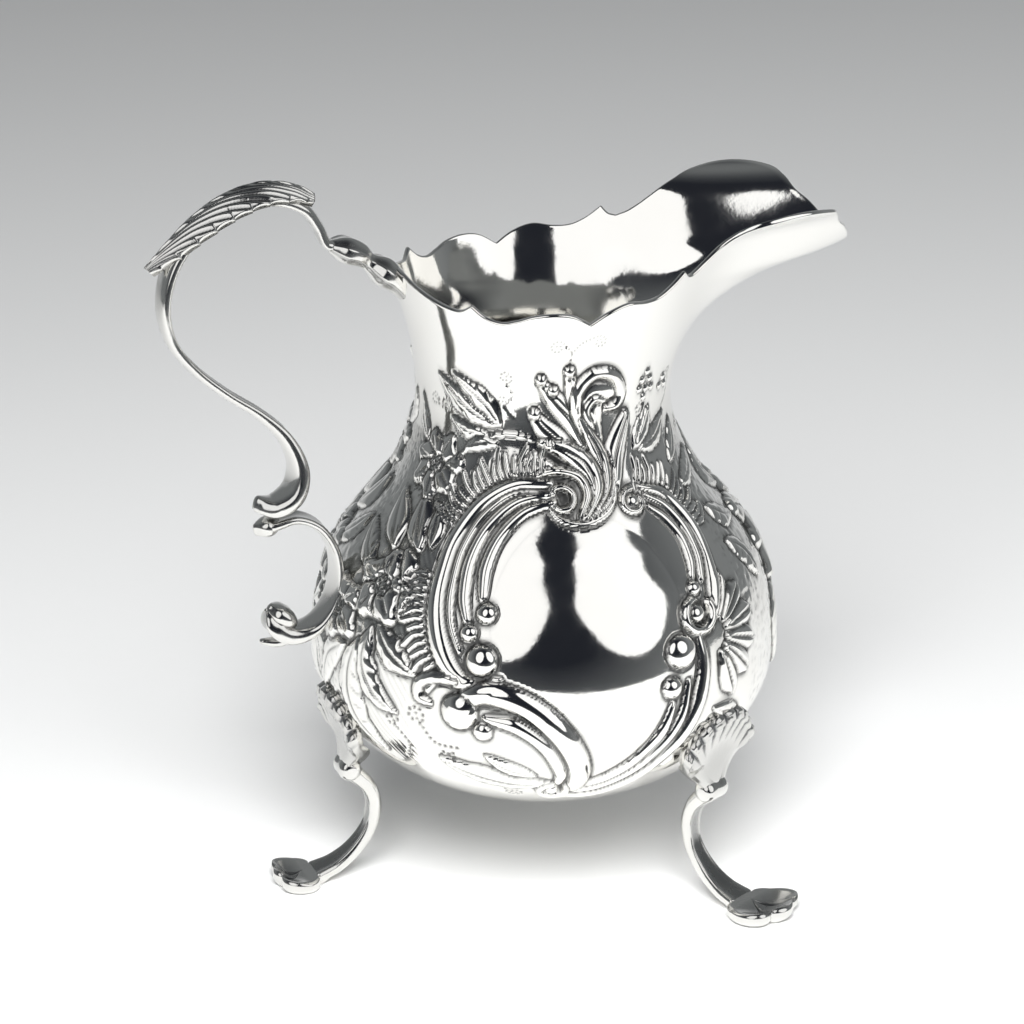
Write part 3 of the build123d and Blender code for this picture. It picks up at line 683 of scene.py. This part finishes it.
def make_body():
    """Raised sheet of the body: chased outer skin, rolled rim and plain inner skin."""
    angles = body_angles()
    levels = body_levels(angles)
    turn = np.radians(angles)
    radius = sheet_radius(np.broadcast_to(angles, levels.shape), levels)
    outer = np.stack([radius * np.cos(turn), radius * np.sin(turn), levels], axis=2)
    normals = surface_normals(outer)

    x = np.broadcast_to(BELLY_RADIUS * np.radians(CARTOUCHE_ANGLE - np.abs(angles)), levels.shape)
    y = np.interp(levels, CHART_Z, CHART_UP)
    height = np.zeros(levels.shape)
    for side, columns in ((NEAR, angles <= 0), (FAR, angles > 0)):
        cx, cy = x[:, columns].ravel(), y[:, columns].ravel()
        if side == FAR:
            place = outer[:, columns].reshape(-1, 3)
            cx = cx + FAR_DRIFT * wobble(place, FAR_WAVE, 31)
            cy = cy + FAR_DRIFT * wobble(place, FAR_WAVE, 32)
        height[:, columns] = chased(cx, cy).reshape(height[:, columns].shape)
    # lower relief where the sheet is narrower, and none near the rim
    row = np.searchsorted(CHART_Z, np.clip(levels, CHART_Z[1], CHART_Z[-1]))
    height *= (CHART_RADIUS[row] / BELLY_RADIUS) ** 0.8
    height = height * np.clip((RELIEF_TOP - levels) / 8.0, 0, 1)

    uneven = sum(size * wobble(outer.reshape(-1, 3), wave, seed) for size, wave, seed in HAND_WAVES)
    uneven = uneven.reshape(levels.shape)
    uneven *= np.clip((rim_height(angles) - levels) / 4.0, 0.15, 1)
    skin = outer + normals * (height + uneven)[..., None]
    # painted shade in wide hollows and in fine cuts
    hollow = np.clip((spread_out(height, 4) - height) / 0.22, 0, 1) ** 1.2
    fine = np.clip((spread_out(height, 1) - height) / 0.05, 0, 1)
    hollow = np.clip(hollow + 0.5 * fine, 0, 1)

    # rolled edge of the rim, from the outer skin over to the inner one
    rise = outer[-1] - outer[-2]
    rise /= np.linalg.norm(rise, axis=1, keepdims=True)
    centre = outer[-1] - normals[-1] * WALL / 2
    edge = [centre + (normals[-1] * math.cos(a) + rise * 0.7 * math.sin(a)) * WALL / 2
            for a in np.radians((30, 60, 90, 120, 150, 180))]

    # the inner skin has every row near the rim and fewer further down
    close = len(levels) - 60
    rows = list(range(len(levels) - 2, close, -1)) + list(range(close, 6, -6))
    inside = [outer[k] - normals[k] * (WALL - uneven[k][:, None]) for k in rows]
    grid = np.vstack([skin, np.array(edge), np.array(inside)])
    shade = np.vstack([hollow, np.zeros((len(edge) + len(inside), len(angles)))])
    rows_total, columns = grid.shape[:2]
    middles = [(0, 0, BELLY_Z - BELLY_DROP), (0, 0, grid[-1, :, 2].mean())]
    points = np.vstack([grid.reshape(-1, 3), middles])
    under, above = len(points) - 2, len(points) - 1
    faces = list(grid_faces(rows_total, columns, True))
    last = (rows_total - 1) * columns
    for k in range(columns):
        beside = (k + 1) % columns
        faces.append((under, beside, k))
        faces.append((above, last + k, last + beside))
    shade = np.r_[shade.ravel(), 0, 0]
    make_piece("jug_body", points, faces, shade, "body", RAISED)


# ---------------------------------------------------------------- castings

def limb_frames(sections, step):
    """Places, directions square to the limb in its plane, and sizes, along the smooth path."""
    path = path_through(sections, step)
    along = np.gradient(path[:, :2], axis=0)
    along /= np.linalg.norm(along, axis=1, keepdims=True)
    return path, np.stack([-along[:, 1], along[:, 0]], axis=1), along


def limb_mesh(sections, profile, step=0.35, around=44, taper=(0.0, 0.0)):
    """Closed limb. profile(share, u, v) bends the oval section, taper is the share of the length over which
    each end narrows to a round tip, and both ends are domed."""
    path, across, along = limb_frames(sections, step)
    count = len(path)
    share = np.linspace(0, 1, count)
    ring = np.linspace(0, 2 * math.pi, around, endpoint=False)
    u, v = np.cos(ring), np.sin(ring)
    rows, shade = [], []
    for i in range(count):
        thick, wide = path[i, 2] / 2, path[i, 3] / 2
        for reach, place in zip(taper, (share[i], 1 - share[i])):
            if place < reach:
                wide *= 0.35 + 0.65 * math.sqrt(1 - (1 - place / reach) ** 2)
        # the profile also gives painted shade for the section's hollows and creases
        offset, dark = profile(share[i], u, v)
        side = wide * np.sign(u) * np.abs(u) ** 0.8
        out = thick * (np.sign(v) * np.abs(v) ** 0.8 + offset)
        x, z = path[i, 0] + across[i, 0] * out, path[i, 1] + across[i, 1] * out
        rows.append(np.stack([x, side, z], axis=1))
        shade.append(dark)

    def cap(i, sign):
        """Rows that round off an end by a quarter of the limb's thickness."""
        centre = np.array([path[i, 0], 0, path[i, 1]])
        outward = sign * path[0, 2] / 4 * np.array([along[i, 0], 0, along[i, 1]])
        return [centre + (rows[i] - centre) * math.cos(angle) + outward * math.sin(angle)
                for angle in np.radians((30, 60, 85))]

    rows = cap(0, -1)[::-1] + rows + cap(-1, 1)
    shade = [shade[0]] * 3 + shade + [shade[-1]] * 3
    return np.vstack(rows), tube_faces(len(rows), around), np.concatenate(shade)


def join(*parts):
    """Several point, face and shade sets as one."""
    points, faces, shades, start = [], [], [], 0
    for part, part_faces, shade in parts:
        points.append(np.asarray(part))
        faces += [[index + start for index in face] for face in part_faces]
        shades.append(np.asarray(shade))
        start += len(part)
    return np.vstack(points), faces, np.concatenate(shades)


def strap_profile(share, u, v):
    """Strap with a rounded outer face and a channelled inner one, thicker towards its curled end."""
    inner = np.clip(-v, 0, 1) * (1 + 0.6 * np.clip(share * 4 - 2.4, 0, 1))
    channel = (1 - u**2) ** 1.5
    swell = 0.6 * np.clip((share - 0.72) / 0.15, 0, 1) * np.sign(v) * np.abs(v) ** 0.8
    # the second value is painted shade in the channel of the inner face
    return 0.5 * inner * channel + swell, np.clip(0.25 * inner * channel, 0, 1)


def knop_profile(share, u, v):
    """Knotted shape with creases running along it."""
    crease = 0.12 * np.cos(5 * np.arctan2(v, u))
    # the second value is painted shade in the creases
    return crease * np.sign(v), np.clip(-crease * 4, 0, 1) * 0.6


def plain_profile(share, u, v):
    """Plain oval."""
    return np.zeros_like(u), np.zeros_like(u)


def cast_piece(name, node, mesh, angle=180.0):
    """Casting from its points, faces and shade, turned about the jug's axis to its place."""
    points, faces, shade = mesh
    make_piece(name, turned(points, angle), faces, shade, node, CAST)


def make_leaf_cap():
    """Feathered acanthus leaf laid over the crown of the handle."""
    path, across, _ = limb_frames(LEAF_CAP, 0.16)
    count, columns = len(path), 65
    share = np.linspace(0, 1, count)
    length = np.hypot(*np.diff(path[:, :2], axis=0).T).sum()
    u = np.linspace(-1, 1, columns)
    top, under, shade = [], [], []
    for i in range(count):
        wide, crown = LEAF_WIDTH * path[i, 2] / 2, path[i, 3] * 0.9
        flow = (share[i] * length + FEATHER_RUN * np.abs(u)) / FEATHER_STEP
        saw = (-(share[i] * length + FEATHER_RUN) / FEATHER_STEP) % 1.0
        teeth = 0.2 * saw * min(1, 6 * share[i], 6 * (1 - share[i])) * np.abs(u) ** 8
        up = -across[i] if across[i, 1] < 0 else across[i]
        ribs = np.abs(np.sin(flow * math.pi)) ** 0.75
        midrib = np.exp(-((u / 0.08) ** 2))
        height = 0.30 - crown * u**2 + 0.40 * ribs * (0.4 + 0.6 * np.abs(u)) + 0.25 * midrib
        side = wide * (1 + teeth) * u
        top.append(np.stack([path[i, 0] + up[0] * height, side, path[i, 1] + up[1] * height], axis=1))
        low = 0.35 - crown * u**2 - LEAF_THICKNESS
        low = np.where(np.abs(u) > 0.98, height - 0.15, low)
        under.append(np.stack([path[i, 0] + up[0] * low, side, path[i, 1] + up[1] * low], axis=1))
        # painted shade between the feathers' ribs, none on the midrib
        shade.append(np.clip(1.1 - ribs * 1.6, 0, 1) * (1 - midrib) * 0.9)
    ring = np.concatenate([np.array(top), np.array(under)[:, ::-1]], axis=1)
    faces = [list(face) for face in grid_faces(count, 2 * columns, True)]
    last = (count - 1) * 2 * columns
    for k in range(columns - 1):
        mirror = 2 * columns - 1 - k
        faces.append([k + 1, k, mirror, mirror - 1])
        faces.append([last + k, last + k + 1, last + mirror - 1, last + mirror])
    shade = np.array(shade)
    shade = np.concatenate([shade, np.zeros_like(shade)], axis=1)
    cast_piece("handle_leaf", "handle_leaf_cap", (ring.reshape(-1, 3), faces, shade))


def make_handle():
    """The handle's castings: upper scroll, lower scroll and the knotted pad at the rim."""
    cast_piece("handle_upper_strap", "handle_upper_scroll",
               limb_mesh(UPPER_SCROLL, strap_profile, taper=(0.0, 0.07)))
    cast_piece("handle_lower_strap", "handle_lower_scroll",
               join(limb_mesh(LOWER_SCROLL, strap_profile, taper=(0.05, 0.09)),
                    limb_mesh(LOWER_TAIL, plain_profile),
                    limb_mesh(LOWER_KNOB, plain_profile, taper=(0.5, 0.5)),
                    limb_mesh(LOWER_ROLL, plain_profile, taper=(0.3, 0.3))))
    cast_piece("handle_rim_knot", "handle_rim_pad", limb_mesh(RIM_PAD, knop_profile, 0.2, 60))


def belly_x(y, z):
    """Distance in front of the axis of the belly's surface."""
    radius = BELLY_RADIUS * np.sqrt(np.clip(1 - ((BELLY_Z - z) / BELLY_DROP) ** 2, 0, 1))
    return np.sqrt(np.clip(radius**2 - y**2, 0, None))


def shell_mesh():
    """Fluted fan on the belly over a leg, with the plain web that runs down from it to the knuckle."""
    rays, rings = 181, 52
    angle = np.linspace(-92, 92, rays)
    side = np.abs(angle)
    edge = smooth(SHELL_OUTLINE, side)
    turn = (angle + SHELL_FAN) / (2 * SHELL_FAN) * SHELL_FLUTES * math.pi
    flutes = np.abs(np.sin(turn)) ** 0.8
    fanned = np.clip((56 - side) / 6, 0, 1)
    edge = edge + 0.3 * flutes * fanned
    share = np.linspace(0.04, 1, rings)[:, None]
    y = share * edge * np.sin(np.radians(angle))
    z = SHELL_ROOT + share * edge * np.cos(np.radians(angle))
    belly = belly_x(y, np.maximum(z, 14.0))
    web = WEB_X + 0.04 * (z - SHELL_ROOT) - 0.10 * y**2 * np.clip((22.5 - z) / 4, 0, 1)
    over = belly + 0.35 - web
    base = web + (over + np.sqrt(over**2 + 0.8)) / 2
    rise = np.clip((share - 0.58) * 4.0, 0, 1) * fanned
    fine = np.abs(np.sin(3 * turn))
    lip = 0.3 * np.exp(-(((share - 0.93) / 0.035) ** 2)) * fanned
    dished = 0.7 * np.sin(math.pi * np.clip(share / 0.62, 0, 1)) * np.clip((60 - side) / 20, 0, 1)
    height = 0.45 - 0.5 * dished + rise * (0.36 * flutes + 0.08 * fine) + lip
    height = height - 3.0 * np.clip(share - 0.95, 0, 1)
    up = np.clip((z - 20.0) / 8.0, 0, 1)
    slope = np.stack([np.ones_like(y), y / 30.0, -0.6 * up - 0.2 * (1 - up)], axis=2)
    slope /= np.linalg.norm(slope, axis=2, keepdims=True)
    ground = np.stack([base, y, z], axis=2)
    top = ground + slope * height[..., None]
    under = ground - slope * (0.9 + 0.9 * (1 - up))[..., None]
    ring = np.vstack([top, under[::-1]])
    faces = [list(face) for face in grid_faces(2 * rings, rays, False)]
    for j in range(rings - 1):
        far = (2 * rings - 1 - j) * rays
        next_far = far - rays
        faces.append([j * rays, (j + 1) * rays, next_far, far])
        faces.append([(j + 1) * rays + rays - 1, j * rays + rays - 1, far + rays - 1, next_far + rays - 1])
    last = (2 * rings - 1) * rays
    for i in range(rays - 1):
        faces.append([i + 1, i, last + i, last + i + 1])
    # painted shade between the flutes and in the dished web, with a little all over
    shade = np.clip(1 - flutes * 1.6, 0, 1) * rise * 0.9 + 0.2 * dished + 0.1
    shade = np.vstack([shade, np.zeros_like(shade)]).ravel()
    return ring.reshape(-1, 3), faces, shade


def foot_reach(angle, centre):
    """Outline of the three-lobed foot from its middle."""
    best = np.zeros_like(angle)
    for x, y, a, b in FOOT_LOBES:
        dx, dy = np.cos(angle) / a, np.sin(angle) / b
        ox, oy = (centre - x) / a, -y / b
        p, q, r = dx**2 + dy**2, dx * ox + dy * oy, ox**2 + oy**2 - 1
        root = np.sqrt(np.clip(q**2 - p * r, 0, None))
        best = np.maximum(best, np.where(q**2 > p * r, (-q + root) / p, 0))
    return best


def foot_mesh(stride):
    """Trefid foot: three scooped lobes whose edges lift at the toe, which reaches out by the stride."""
    centre, spokes = 37.4, 120
    angle = np.linspace(0, 2 * math.pi, spokes, endpoint=False)
    toe = np.clip(np.cos(angle), 0, 1)
    reach = foot_reach(angle, centre) + stride * toe
    shares = np.r_[np.linspace(0.04, 0.98, 20), 1.0]
    rows, shade = [], []
    crease_angle = math.radians(28)   # from the toe's middle to the crease between two lobes
    crease = np.exp(-(((np.abs(angle - math.pi) - math.pi + crease_angle) / 0.11) ** 2))
    for share in shares:
        scoop = -1.15 * math.sin(math.pi * share) * toe
        top = 1.9 + toe * share**1.5 + scoop - 0.5 * crease * share * toe - 1.75 * max(0, share - 0.9)
        rows.append(np.stack([centre + reach * share * np.cos(angle), reach * share * np.sin(angle),
                              np.broadcast_to(top, angle.shape)], axis=1))
        # painted shade in the scoop of the toe and in the creases between the lobes
        shade.append(0.5 * toe * math.sin(math.pi * share) + 0.6 * crease * toe)
    sole = [(1.02, 1.3), (1.0, 0.7), (0.95, 0.25), (0.86, 0.0), (0.4, 0.0)]
    for share, z in sole:
        lift = 0.35 * toe * (share > 0.9) * (z > 0)
        x, y = centre + reach * share * np.cos(angle), reach * share * np.sin(angle)
        rows.append(np.stack([x, y, z + lift], axis=1))
        shade.append(np.zeros(spokes))
    return np.vstack(rows), tube_faces(len(rows), spokes, True), np.concatenate(shade)


def knuckle_mesh():
    """Plain rolled knuckle with rounded ends across the top of a leg."""
    x, z, radius, length = KNUCKLE
    around = 48
    half = length / 2
    outline = [(-half, 0.15), (-half + 0.1, 0.5), (-half + 0.45, 0.82), (-half + 1.2, 1.0)]
    outline += [(0.0, 0.97)] + [(-y, r) for y, r in outline[::-1]]
    path = path_through([(y, r * radius) for y, r in outline], 0.12)
    ring = np.linspace(0, 2 * math.pi, around, endpoint=False)
    rows = [np.stack([x + r * np.cos(ring), np.full(around, y), z + r * np.sin(ring)], axis=1)
            for y, r in path]
    return np.vstack(rows), tube_faces(len(rows), around, True), np.zeros(len(rows) * around)


def shank_profile(share, u, v):
    """Bowed shank whose front is hollowed between two raised edges."""
    hollow = np.clip(v, 0, 1) * np.clip(1 - (u / 0.8) ** 4, 0, 1) * min(1, share * 6)
    # the second value is painted shade in the hollowed front
    return -0.42 * hollow, 0.5 * hollow


def make_legs():
    """Three cabriole legs and the shells over them."""
    for name, angle, stride in LEGS:
        leg = join(knuckle_mesh(), limb_mesh(SHANK, shank_profile, 0.25, 40), foot_mesh(stride))
        cast_piece("shell_over_" + name, "knee_shell_" + name, shell_mesh(), angle)
        cast_piece("cabriole_" + name, "leg_" + name, leg, angle)


# ---------------------------------------------------------------- camera, floor and light

CAMERA_AZIMUTH = -18.5
CAMERA_ELEVATION = 20.0
CAMERA_ROLL = 0.5
CAMERA_DISTANCE = 0.700
LENS = 171.0
AIM_HEIGHT = 0.497       # share of the jug's height that the middle of the frame looks at
AIM_LEFT = 0.0045


def make_camera():
    """Camera at the photograph's viewing angle."""
    azimuth, elevation = math.radians(CAMERA_AZIMUTH), math.radians(CAMERA_ELEVATION)
    back = Vector((math.sin(azimuth) * math.cos(elevation), -math.cos(azimuth) * math.cos(elevation),
                   math.sin(elevation)))
    right = Vector((math.cos(azimuth), math.sin(azimuth), 0))
    up = back.cross(right)
    height = cad_box[1][2] - cad_box[0][2]
    target = Vector((AXIS_X * MM, 0, cad_box[0][2] + AIM_HEIGHT * height)) - right * AIM_LEFT
    roll = math.radians(CAMERA_ROLL)
    side = right * math.cos(roll) - up * math.sin(roll)
    rise = right * math.sin(roll) + up * math.cos(roll)
    data = bpy.data.cameras.new("camera")
    data.lens = LENS
    data.sensor_width = 36.0
    camera = bpy.data.objects.new("camera", data)
    turn = Matrix((side, rise, back)).transposed().to_4x4()
    camera.matrix_world = Matrix.Translation(target + back * CAMERA_DISTANCE) @ turn
    bpy.context.scene.collection.objects.link(camera)
    bpy.context.scene.camera = camera


def area_light(name, shape, size, power, away, height):
    """Soft light that faces the jug's axis. The camera doesn't see it."""
    data = bpy.data.lights.new(name, "AREA")
    data.shape = shape
    data.size = size
    data.energy = power
    lamp = bpy.data.objects.new(name, data)
    lamp.location = away + Vector((AXIS_X * MM, 0, height))
    lamp.rotation_euler = away.to_track_quat("Z", "Y").to_euler()
    lamp.visible_camera = False
    bpy.context.scene.collection.objects.link(lamp)
    return lamp


def softbox(name, left, right, bottom, top, distance, power):
    """Upright oval light that the silver reflects, from one azimuth to another and one height to another.
    Azimuths are from +X, sizes in metres."""
    azimuth = math.radians((left + right) / 2)
    away = Vector((math.cos(azimuth), math.sin(azimuth), 0)) * distance
    width = 2 * distance * math.tan(math.radians(right - left) / 2)
    lamp = area_light(name, "ELLIPSE", width, power, away, (bottom + top) / 2)
    lamp.data.size_y = top - bottom


def front_fill(size, distance, height, power):
    """Light over the camera's side that brightens the paper in front of the jug and under it. The silver
    doesn't reflect it."""
    azimuth = math.radians(CAMERA_AZIMUTH)
    away = Vector((math.sin(azimuth) * distance, -math.cos(azimuth) * distance, height))
    lamp = area_light("front_fill", "DISK", size, power, away, 0)
    lamp.visible_glossy = False


def floor_material():
    """Plain pale matt paper, with painted shade that makes it a little greyer towards the back."""
    material = bpy.data.materials.new("pale_floor")
    material.use_nodes = True
    tree = material.node_tree
    noise = add_node(tree, "TexNoise", {"Scale": 6.0}).outputs["Fac"]
    paper = add_node(tree, "Mix", {"Factor": noise, "A": (0.89, 0.895, 0.89, 1), "B": (0.91, 0.91, 0.905, 1)},
                     data_type="RGBA").outputs["Result"]
    place = add_node(tree, "TexCoord", {}).outputs["Object"]
    back = add_node(tree, "SeparateXYZ", {0: place}).outputs["Y"]
    # painted shade: the paper's colour darkens towards the back
    painted_back_shade = ranged(tree, back, 0.0, 0.55, 1.0, 0.80)
    graded = add_node(tree, "VectorMath", {0: paper, "Scale": painted_back_shade}, operation="SCALE").outputs["Vector"]
    shader = tree.nodes["Principled BSDF"]
    shader.inputs["Roughness"].default_value = 0.75
    shader.inputs["Specular IOR Level"].default_value = 0.2
    tree.links.new(graded, shader.inputs["Base Color"])
    return material


def make_floor():
    """Table top that the silver reflects, and the paper beyond it that it doesn't."""
    material = floor_material()
    x = AXIS_X * MM
    front, side, behind, far = -0.150, 0.42, 0.60, 4.0
    outline = {
        "table_top": [((x - side, front), (x + side, behind))],
        "paper_beyond": [((-far, behind), (far, far)), ((-far, -far), (far, front)),
                         ((-far, front), (x - side, behind)), ((x + side, front), (far, behind))],
    }
    for name, rectangles in outline.items():
        points, faces = [], []
        for (x0, y0), (x1, y1) in rectangles:
            start = len(points)
            points += [(x0, y0, 0), (x1, y0, 0), (x1, y1, 0), (x0, y1, 0)]
            faces.append([start, start + 1, start + 2, start + 3])
        mesh = bpy.data.meshes.new(name)
        mesh.from_pydata(points, [], faces)
        mesh.materials.append(material)
        floor = bpy.data.objects.new(name, mesh)
        bpy.context.scene.collection.objects.link(floor)
        floor.visible_glossy = name == "table_top"


def make_world():
    """Room that is dark on the camera's side, grey around and above, and pale low down behind the jug, with
    a pale backdrop for the camera itself."""
    world = bpy.data.worlds.new("studio")
    bpy.context.scene.world = world
    world.use_nodes = True
    tree = world.node_tree
    tree.nodes.clear()
    direction = add_node(tree, "TexCoord", {}).outputs["Generated"]
    azimuth = math.radians(CAMERA_AZIMUTH)
    behind = (-math.sin(azimuth), math.cos(azimuth), -0.8)
    facing = add_node(tree, "VectorMath", {0: direction, 1: behind}, operation="DOT_PRODUCT").outputs["Value"]
    halved = add_node(tree, "Math", {0: facing, 1: 0.5, 2: 0.5}, operation="MULTIPLY_ADD").outputs["Value"]
    ramp = add_node(tree, "ValToRGB", {"Fac": halved})
    ramp.color_ramp.elements[0].color = (0.016, 0.018, 0.024, 1)
    ramp.color_ramp.elements[1].color = (0.62, 0.63, 0.64, 1)
    for place in (0.45, 0.80):
        ramp.color_ramp.elements.new(place).color = (0.19, 0.20, 0.205, 1)
    room = add_node(tree, "Background", {"Color": ramp.outputs["Color"]}).outputs[0]
    height = add_node(tree, "SeparateXYZ", {0: direction}).outputs["Z"]
    rising = ranged(tree, height, 0.0, 0.35, 0.10, 0.55)
    backdrop = add_node(tree, "Background", {"Color": rising}).outputs[0]
    seen = add_node(tree, "LightPath", {}).outputs["Is Camera Ray"]
    mix = add_node(tree, "MixShader", {0: seen, 1: room, 2: backdrop}).outputs[0]
    add_node(tree, "OutputWorld", {"Surface": mix})


make_camera()
make_floor()
make_world()
softbox("softbox_left", -162, -110, 0.06, 1.5, 0.75, 2.8)
softbox("softbox_right", -91, -28, 0.05, 1.5, 0.75, 3.6)
front_fill(0.5, 0.55, 0.60, 9.2)
bpy.context.scene.view_settings.view_transform = "Standard"

make_body()
make_handle()
make_leaf_cap()
make_legs()
